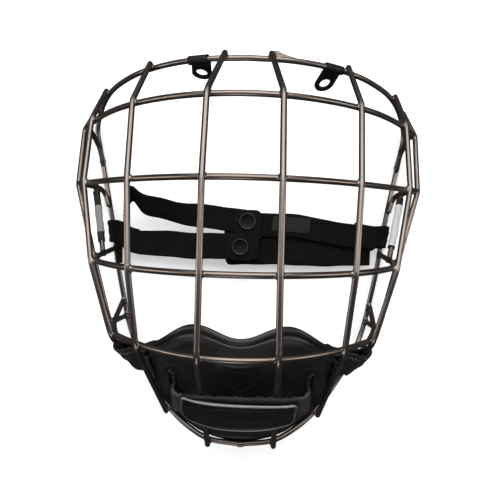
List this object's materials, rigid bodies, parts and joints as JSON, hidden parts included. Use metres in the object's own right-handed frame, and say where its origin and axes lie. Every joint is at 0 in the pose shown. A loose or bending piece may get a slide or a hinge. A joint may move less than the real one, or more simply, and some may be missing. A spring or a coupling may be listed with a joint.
{
  "type": "ice hockey face cage",
  "caption": "Welded wire face cage for an ice hockey helmet, with a padded chin cup, swivelling helmet clips and black harness straps.",
  "frame": {"origin": "middle of the bottom of the bounding box, where the rim of the cage rests face up on a flat surface", "axes": "+Z out of the face, +Y towards the forehead, +X across the face"},
  "size_m": [0.1972, 0.2098, 0.1418],
  "materials": {
    "wire": "bronze-grey plated steel wire, half gloss",
    "clip": "steel strip with a smooth black coating",
    "cup": "black moulded shell with a soft sheen",
    "webbing": "black woven webbing",
    "snap": "dark snap caps",
    "hook_webbing": "dark grey frayed hook-and-loop webbing",
    "plate": "black plate with a raised silver border",
    "wrap": "wrinkled black cloth",
    "label": "grey-white vinyl between black ends"
  },
  "bodies": {
    "cage": {"wire_cage": "wire", "chin_cup": "cup", "strap_left_lower": "webbing", "strap_right_upper": "webbing", "strap_left_upper": "webbing", "strap_right_lower": "webbing", "snap_upper": "snap", "snap_lower": "snap", "front_strap": "hook_webbing", "nameplate": "plate", "wrap_left": "wrap", "wrap_right": "wrap", "label_left": "label", "label_right": "label"},
    "left_clip": {"clip_left": "clip"},
    "right_clip": {"clip_right": "clip"}
  },
  "joints": [
    {"name": "clip_left_swivel", "type": "hinge", "parent": "cage", "child": "left_clip", "pos_m": [-0.0254, 0.1004, 0.07685], "axis": [0.9322, 0.0187, 0.3616], "range_deg": [-60, 120]},
    {"name": "clip_right_swivel", "type": "hinge", "parent": "cage", "child": "right_clip", "pos_m": [0.0445, 0.09952, 0.06669], "axis": [0.8314, -0.063, -0.5521], "range_deg": [-60, 120]}
  ]
}
